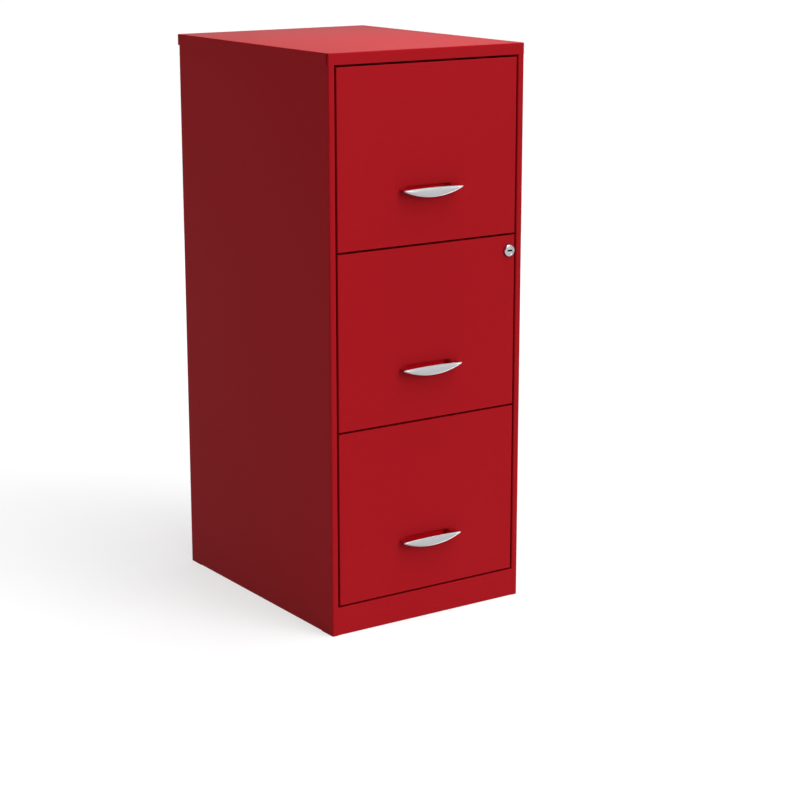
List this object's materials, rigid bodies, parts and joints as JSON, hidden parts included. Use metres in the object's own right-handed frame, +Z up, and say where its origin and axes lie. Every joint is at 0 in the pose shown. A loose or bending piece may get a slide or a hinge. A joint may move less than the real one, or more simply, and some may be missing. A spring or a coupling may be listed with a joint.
{
  "type": "filing cabinet",
  "caption": "Tall narrow metal filing cabinet with sliding drawers on rollers, arched pulls, a cam lock, and a plain capped top.",
  "frame": {"origin": "bottom centre of the whole box, pulls included, on the floor", "axes": "+Z up, the drawers open towards -Y, +X to the right seen from the front"},
  "size_m": [0.362, 0.4718, 0.9017],
  "materials": {
    "red_paint": "red powder coat, low gloss, fine orange peel",
    "pull_body": "red moulded plastic",
    "pull_silver": "satin silver",
    "lock_chrome": "polished",
    "zinc_steel": "zinc plated",
    "roller_nylon": "natural nylon"
  },
  "bodies": {
    "cabinet": {"left_side_panel": "red_paint", "right_side_panel": "red_paint", "back_panel": "red_paint", "top_cap": "red_paint", "kick_plate": "red_paint", "base_rail": "red_paint", "lower_cross_rail": "red_paint", "upper_cross_rail": "red_paint", "cabinet_roller_pins": "zinc_steel", "left_cabinet_rail_bottom": "zinc_steel", "right_cabinet_rail_bottom": "zinc_steel", "left_cabinet_rail_middle": "zinc_steel", "right_cabinet_rail_middle": "zinc_steel", "left_cabinet_rail_top": "zinc_steel", "right_cabinet_rail_top": "zinc_steel"},
    "bottom_drawer": {"bottom_drawer_front": "red_paint", "bottom_drawer_front_liner": "red_paint", "bottom_drawer_tray": "red_paint", "bottom_drawer_back": "red_paint", "bottom_drawer_pull": "pull_body", "bottom_drawer_pull_face": "pull_silver", "bottom_drawer_roller_pins": "zinc_steel", "left_drawer_rail_bottom": "zinc_steel", "right_drawer_rail_bottom": "zinc_steel"},
    "middle_drawer": {"middle_drawer_front": "red_paint", "middle_drawer_front_liner": "red_paint", "middle_drawer_tray": "red_paint", "middle_drawer_back": "red_paint", "middle_drawer_pull": "pull_body", "middle_drawer_pull_face": "pull_silver", "middle_drawer_roller_pins": "zinc_steel", "left_drawer_rail_middle": "zinc_steel", "right_drawer_rail_middle": "zinc_steel", "lock_housing": "lock_chrome", "lock_clip": "zinc_steel"},
    "top_drawer": {"top_drawer_front": "red_paint", "top_drawer_front_liner": "red_paint", "top_drawer_tray": "red_paint", "top_drawer_back": "red_paint", "top_drawer_pull": "pull_body", "top_drawer_pull_face": "pull_silver", "top_drawer_roller_pins": "zinc_steel", "left_drawer_rail_top": "zinc_steel", "right_drawer_rail_top": "zinc_steel"},
    "lock_barrel": {"lock_core": "lock_chrome", "lock_cam": "zinc_steel"},
    "left_cabinet_roller_bottom": {"left_cabinet_roller_bottom": "roller_nylon"},
    "left_drawer_roller_bottom": {"left_drawer_roller_bottom": "roller_nylon"},
    "right_cabinet_roller_bottom": {"right_cabinet_roller_bottom": "roller_nylon"},
    "right_drawer_roller_bottom": {"right_drawer_roller_bottom": "roller_nylon"},
    "left_cabinet_roller_middle": {"left_cabinet_roller_middle": "roller_nylon"},
    "left_drawer_roller_middle": {"left_drawer_roller_middle": "roller_nylon"},
    "right_cabinet_roller_middle": {"right_cabinet_roller_middle": "roller_nylon"},
    "right_drawer_roller_middle": {"right_drawer_roller_middle": "roller_nylon"},
    "left_cabinet_roller_top": {"left_cabinet_roller_top": "roller_nylon"},
    "left_drawer_roller_top": {"left_drawer_roller_top": "roller_nylon"},
    "right_cabinet_roller_top": {"right_cabinet_roller_top": "roller_nylon"},
    "right_drawer_roller_top": {"right_drawer_roller_top": "roller_nylon"}
  },
  "joints": [
    {"name": "bottom_drawer_slide", "type": "slide", "parent": "cabinet", "child": "bottom_drawer", "axis": [0, -1, 0], "range_m": [0, 0.33]},
    {"name": "middle_drawer_slide", "type": "slide", "parent": "cabinet", "child": "middle_drawer", "axis": [0, -1, 0], "range_m": [0, 0.33]},
    {"name": "top_drawer_slide", "type": "slide", "parent": "cabinet", "child": "top_drawer", "axis": [0, -1, 0], "range_m": [0, 0.33]},
    {"name": "lock_turn", "type": "hinge", "parent": "middle_drawer", "child": "lock_barrel", "pos_m": [0.15388, -0.22135, 0.5783], "axis": [0, 1, 0], "range_deg": [0, 90]},
    {"name": "left_cabinet_roller_bottom_spin", "type": "hinge", "parent": "cabinet", "child": "left_cabinet_roller_bottom", "pos_m": [-0.1642, -0.17135, 0.1516], "axis": [1, 0, 0], "continuous": true},
    {"name": "left_drawer_roller_bottom_spin", "type": "hinge", "parent": "bottom_drawer", "child": "left_drawer_roller_bottom", "pos_m": [-0.162, 0.18165, 0.1516], "axis": [1, 0, 0], "continuous": true},
    {"name": "right_cabinet_roller_bottom_spin", "type": "hinge", "parent": "cabinet", "child": "right_cabinet_roller_bottom", "pos_m": [0.1642, -0.17135, 0.1516], "axis": [1, 0, 0], "continuous": true},
    {"name": "right_drawer_roller_bottom_spin", "type": "hinge", "parent": "bottom_drawer", "child": "right_drawer_roller_bottom", "pos_m": [0.162, 0.18165, 0.1516], "axis": [1, 0, 0], "continuous": true},
    {"name": "left_cabinet_roller_middle_spin", "type": "hinge", "parent": "cabinet", "child": "left_cabinet_roller_middle", "pos_m": [-0.1642, -0.17135, 0.43], "axis": [1, 0, 0], "continuous": true},
    {"name": "left_drawer_roller_middle_spin", "type": "hinge", "parent": "middle_drawer", "child": "left_drawer_roller_middle", "pos_m": [-0.162, 0.18165, 0.43], "axis": [1, 0, 0], "continuous": true},
    {"name": "right_cabinet_roller_middle_spin", "type": "hinge", "parent": "cabinet", "child": "right_cabinet_roller_middle", "pos_m": [0.1642, -0.17135, 0.43], "axis": [1, 0, 0], "continuous": true},
    {"name": "right_drawer_roller_middle_spin", "type": "hinge", "parent": "middle_drawer", "child": "right_drawer_roller_middle", "pos_m": [0.162, 0.18165, 0.43], "axis": [1, 0, 0], "continuous": true},
    {"name": "left_cabinet_roller_top_spin", "type": "hinge", "parent": "cabinet", "child": "left_cabinet_roller_top", "pos_m": [-0.1642, -0.17135, 0.7084], "axis": [1, 0, 0], "continuous": true},
    {"name": "left_drawer_roller_top_spin", "type": "hinge", "parent": "top_drawer", "child": "left_drawer_roller_top", "pos_m": [-0.162, 0.18165, 0.7084], "axis": [1, 0, 0], "continuous": true},
    {"name": "right_cabinet_roller_top_spin", "type": "hinge", "parent": "cabinet", "child": "right_cabinet_roller_top", "pos_m": [0.1642, -0.17135, 0.7084], "axis": [1, 0, 0], "continuous": true},
    {"name": "right_drawer_roller_top_spin", "type": "hinge", "parent": "top_drawer", "child": "right_drawer_roller_top", "pos_m": [0.162, 0.18165, 0.7084], "axis": [1, 0, 0], "continuous": true}
  ],
  "couplings": [
    {"joint": "left_cabinet_roller_bottom_spin", "follows": "bottom_drawer_slide", "rad_per_m": 100},
    {"joint": "left_drawer_roller_bottom_spin", "follows": "bottom_drawer_slide", "rad_per_m": 100},
    {"joint": "right_cabinet_roller_bottom_spin", "follows": "bottom_drawer_slide", "rad_per_m": 100},
    {"joint": "right_drawer_roller_bottom_spin", "follows": "bottom_drawer_slide", "rad_per_m": 100},
    {"joint": "left_cabinet_roller_middle_spin", "follows": "middle_drawer_slide", "rad_per_m": 100},
    {"joint": "left_drawer_roller_middle_spin", "follows": "middle_drawer_slide", "rad_per_m": 100},
    {"joint": "right_cabinet_roller_middle_spin", "follows": "middle_drawer_slide", "rad_per_m": 100},
    {"joint": "right_drawer_roller_middle_spin", "follows": "middle_drawer_slide", "rad_per_m": 100},
    {"joint": "left_cabinet_roller_top_spin", "follows": "top_drawer_slide", "rad_per_m": 100},
    {"joint": "left_drawer_roller_top_spin", "follows": "top_drawer_slide", "rad_per_m": 100},
    {"joint": "right_cabinet_roller_top_spin", "follows": "top_drawer_slide", "rad_per_m": 100},
    {"joint": "right_drawer_roller_top_spin", "follows": "top_drawer_slide", "rad_per_m": 100}
  ]
}
